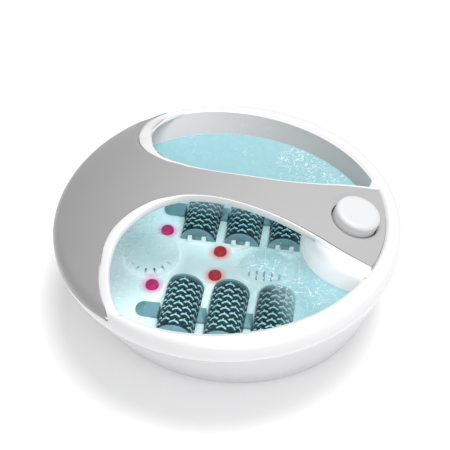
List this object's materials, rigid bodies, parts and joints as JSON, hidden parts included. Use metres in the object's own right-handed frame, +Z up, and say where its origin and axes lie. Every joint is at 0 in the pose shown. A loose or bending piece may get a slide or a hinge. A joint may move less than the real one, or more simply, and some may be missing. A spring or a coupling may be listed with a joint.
{
  "type": "foot spa basin",
  "caption": "Oval foot spa tub with a rolled rim, grey toe hood and bridge, lift-out roller trays, floor lamps, air caps and a control knob.",
  "frame": {"origin": "under the middle of the outline, on the plane of the feet", "axes": "+X towards the control knob, -X towards the toe hood, +Y to the back, +Z up"},
  "size_m": [0.4, 0.406, 0.176],
  "materials": {
    "white_gloss": "gloss",
    "casing_white": "semi-gloss",
    "cover_grey": "satin",
    "knob_white": "satin",
    "roller_teal": "semi-gloss",
    "tray_teal": "semi-gloss",
    "lens_magenta": "gloss",
    "lens_red": "gloss",
    "black_rubber": "matte",
    "hose_rubber": "matte",
    "screw_steel": "satin",
    "motor_steel": "satin",
    "weight_brass": "satin",
    "black_plastic": "matte",
    "board_green": "matte",
    "heater_foil": "satin",
    "led_clear": "gloss"
  },
  "bodies": {
    "base": {"air_hose": "hose_rubber", "air_manifold": "black_plastic", "blower_lid": "black_plastic", "blower_scroll": "black_plastic", "board_screws": "screw_steel", "casing_screws": "screw_steel", "centre_lamp_board_back": "board_green", "centre_lamp_board_front": "board_green", "centre_lens_back": "lens_red", "centre_lens_front": "lens_red", "control_board": "board_green", "cord_gland": "black_rubber", "cover_screws": "screw_steel", "deck_frame": "white_gloss", "heater_plate_back": "heater_foil", "heater_plate_front": "heater_foil", "jet_dome": "white_gloss", "knob_seal": "black_rubber", "lamp_leds": "led_clear", "lower_casing": "casing_white", "motor_can": "motor_steel", "motor_mount": "black_plastic", "pod_gasket": "black_rubber", "rubber_feet": "black_rubber", "selector_switch": "black_plastic", "switch_nut": "screw_steel", "thermal_cutout": "motor_steel", "toe_cap": "white_gloss", "toe_lamp_board_back": "board_green", "toe_lamp_board_front": "board_green", "toe_lens_back": "lens_magenta", "toe_lens_front": "lens_magenta", "top_cover": "cover_grey", "tub": "white_gloss"},
    "knob": {"control_knob": "knob_white", "switch_shaft": "screw_steel"},
    "tray_front": {"roller_tray_front": "tray_teal", "axle_pins_front": "screw_steel"},
    "tray_back": {"roller_tray_back": "tray_teal", "axle_pins_back": "screw_steel"},
    "rotor": {"motor_shaft": "motor_steel", "eccentric_weight": "weight_brass", "blower_fan": "black_plastic"},
    "massage_roller_front_1": {"roller_front_1": "roller_teal"},
    "massage_roller_front_2": {"roller_front_2": "roller_teal"},
    "massage_roller_front_3": {"roller_front_3": "roller_teal"},
    "massage_roller_back_1": {"roller_back_1": "roller_teal"},
    "massage_roller_back_2": {"roller_back_2": "roller_teal"},
    "massage_roller_back_3": {"roller_back_3": "roller_teal"}
  },
  "joints": [
    {"name": "knob_turn", "type": "hinge", "parent": "base", "child": "knob", "pos_m": [0.144, 0, 0.1434], "axis": [0.2671, 0, 0.9637], "range_deg": [0, 270]},
    {"name": "tray_front_lift", "type": "slide", "parent": "base", "child": "tray_front", "axis": [0, 0, 1], "range_m": [0, 0.04]},
    {"name": "roller_front_1_spin", "type": "hinge", "parent": "tray_front", "child": "massage_roller_front_1", "pos_m": [-0.044, 0, 0.0405], "axis": [0, 1, 0], "continuous": true},
    {"name": "roller_front_2_spin", "type": "hinge", "parent": "tray_front", "child": "massage_roller_front_2", "pos_m": [0.01, 0, 0.0405], "axis": [0, 1, 0], "continuous": true},
    {"name": "roller_front_3_spin", "type": "hinge", "parent": "tray_front", "child": "massage_roller_front_3", "pos_m": [0.064, 0, 0.0405], "axis": [0, 1, 0], "continuous": true},
    {"name": "tray_back_lift", "type": "slide", "parent": "base", "child": "tray_back", "axis": [0, 0, 1], "range_m": [0, 0.04]},
    {"name": "roller_back_1_spin", "type": "hinge", "parent": "tray_back", "child": "massage_roller_back_1", "pos_m": [-0.044, 0, 0.0405], "axis": [0, 1, 0], "continuous": true},
    {"name": "roller_back_2_spin", "type": "hinge", "parent": "tray_back", "child": "massage_roller_back_2", "pos_m": [0.01, 0, 0.0405], "axis": [0, 1, 0], "continuous": true},
    {"name": "roller_back_3_spin", "type": "hinge", "parent": "tray_back", "child": "massage_roller_back_3", "pos_m": [0.064, 0, 0.0405], "axis": [0, 1, 0], "continuous": true},
    {"name": "rotor_spin", "type": "hinge", "parent": "base", "child": "rotor", "pos_m": [0.128, 0, 0.04], "axis": [0, 0, 1], "continuous": true}
  ]
}
